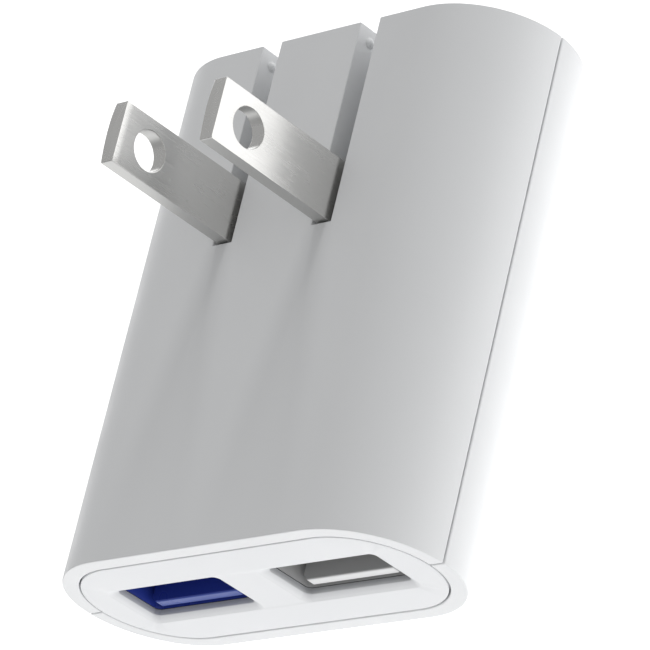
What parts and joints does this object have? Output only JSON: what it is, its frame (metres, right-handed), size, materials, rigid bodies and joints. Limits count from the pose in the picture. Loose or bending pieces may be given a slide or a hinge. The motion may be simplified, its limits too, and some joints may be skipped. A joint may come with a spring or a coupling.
{
  "type": "usb wall charger",
  "caption": "Flat round-sided wall charger with folding flat mains blades on its face, slots they fold into, and side-by-side USB sockets in its end; inner parts are separate.",
  "frame": {"origin": "centre of the flat back face that it lies on", "axes": "+Z the way the unfolded blades stand, +Y along the body from the USB end to the end where the blade slots open, +X across the body"},
  "size_m": [0.0446, 0.0538, 0.035],
  "materials": {
    "white_shell": "satin moulded plastic",
    "white_panel": "satin moulded plastic",
    "blade_nickel": "nickel plated brass, finely rolled",
    "hub_plastic": "matt black moulded plastic",
    "keeper_plastic": "matt grey moulded plastic",
    "screw_steel": "zinc plated steel",
    "spring_steel": "bright spring steel",
    "contact_bronze": "phosphor bronze strip",
    "circuit_board": "green solder mask",
    "insulation_film": "thin amber film",
    "usb_steel": "nickel plated steel",
    "usb_blue": "satin blue moulding",
    "usb_grey": "satin pale grey moulding",
    "contact_gold": "gold plated contact",
    "ferrite": "sintered ferrite",
    "bobbin_plastic": "matt black moulded plastic",
    "winding_tape": "yellow polyester tape",
    "tinned_wire": "tinned copper wire",
    "capacitor_sleeve": "dark shrink sleeve",
    "output_sleeve": "green shrink sleeve",
    "film_box": "yellow moulded case",
    "safety_disc": "blue dipped ceramic",
    "enamelled_copper": "enamelled copper wire",
    "fuse_ceramic": "glazed ceramic tube",
    "chip_epoxy": "matt moulded epoxy"
  },
  "bodies": {
    "housing": {"front_shell": "white_shell", "rear_shell": "white_shell", "port_panel": "white_panel", "hub_keeper": "keeper_plastic", "keeper_screws": "screw_steel", "detent_spring": "spring_steel", "contact_spring_left": "contact_bronze", "contact_spring_right": "contact_bronze", "main_board": "circuit_board", "insulation_sheet": "insulation_film", "usb_shell_left": "usb_steel", "usb_insulator_left": "usb_blue", "usb_contacts_left": "contact_gold", "usb_shell_right": "usb_steel", "usb_insulator_right": "usb_grey", "usb_contacts_right": "contact_gold", "transformer_core": "ferrite", "transformer_bobbin": "bobbin_plastic", "transformer_winding": "winding_tape", "transformer_pins": "tinned_wire", "bulk_capacitors": "capacitor_sleeve", "bulk_capacitor_leads": "tinned_wire", "output_capacitor": "output_sleeve", "film_capacitor": "film_box", "safety_capacitor": "safety_disc", "choke_core": "ferrite", "choke_winding": "enamelled_copper", "fuse": "fuse_ceramic", "bridge_rectifier": "chip_epoxy", "optocoupler": "chip_epoxy", "controller_chip": "chip_epoxy", "output_rectifier": "chip_epoxy", "charge_chip": "chip_epoxy"},
    "plug": {"blade_left": "blade_nickel", "blade_right": "blade_nickel", "blade_hub": "hub_plastic"}
  },
  "joints": [
    {"name": "blade_fold", "type": "hinge", "parent": "housing", "child": "plug", "pos_m": [0, 0.00755, 0.01566], "axis": [-1, 0, 0], "range_deg": [0, 90]}
  ]
}
